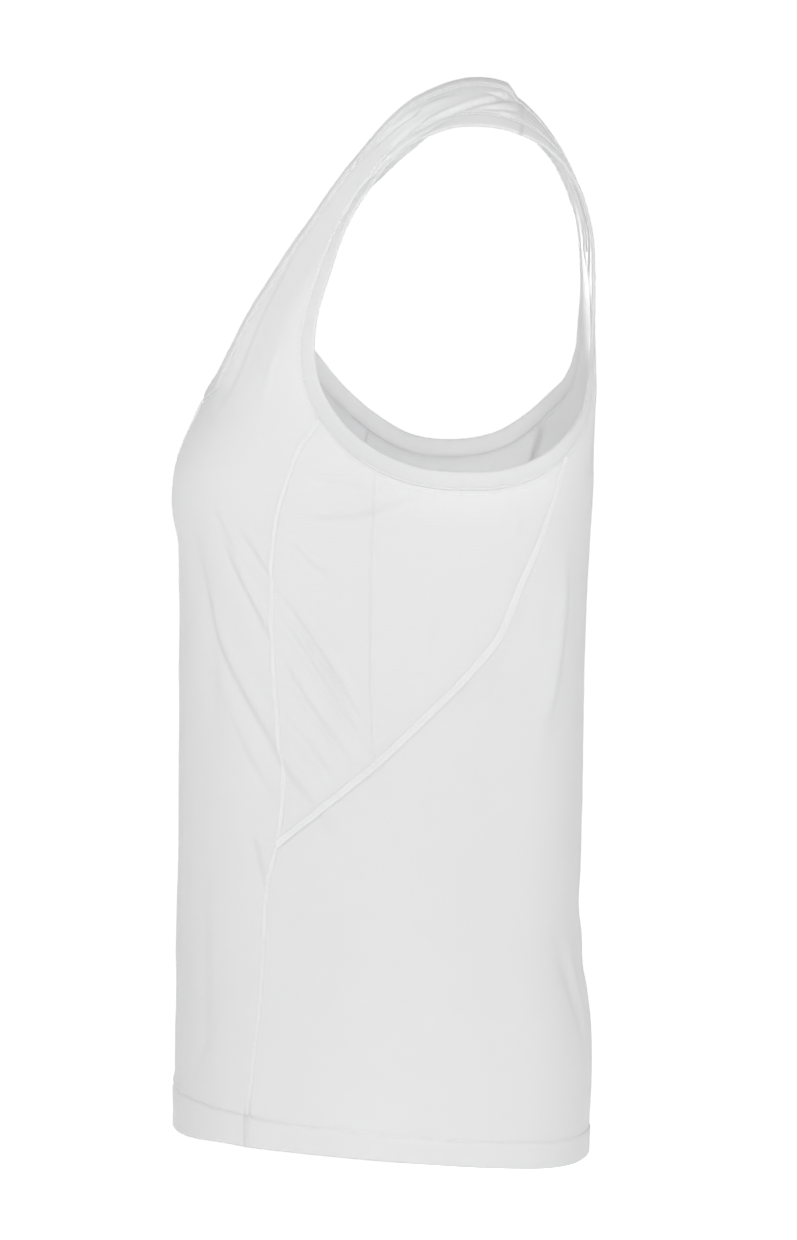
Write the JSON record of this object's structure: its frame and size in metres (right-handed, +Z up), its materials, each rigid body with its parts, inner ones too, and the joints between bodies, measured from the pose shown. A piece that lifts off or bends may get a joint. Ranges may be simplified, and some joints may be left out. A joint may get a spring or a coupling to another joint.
{
  "type": "running singlet",
  "caption": "White sleeveless running singlet in its worn form, empty, with a scooped neck, racer back, under-arm inserts and bound edges.",
  "frame": {"origin": "midway between the two shoulder straps, at the height of the shoulders that the straps rest on", "axes": "+Z up, the front of the garment faces -Y, the wearer's left is +X"},
  "size_m": [0.348, 0.2438, 0.6213],
  "materials": {
    "panel_jersey": "fine smooth knit with a faint sheen",
    "insert_knit": "light ribbed mesh knit",
    "binding_tape": "folded knit tape, twin stitched"
  },
  "bodies": {
    "root": {"front_panel": "panel_jersey", "back_panel": "panel_jersey", "insert_front_left": "insert_knit", "insert_front_right": "insert_knit", "insert_back_left": "insert_knit", "insert_back_right": "insert_knit", "armhole_binding_left": "binding_tape", "armhole_binding_right": "binding_tape", "neck_binding": "binding_tape"}
  },
  "joints": []
}
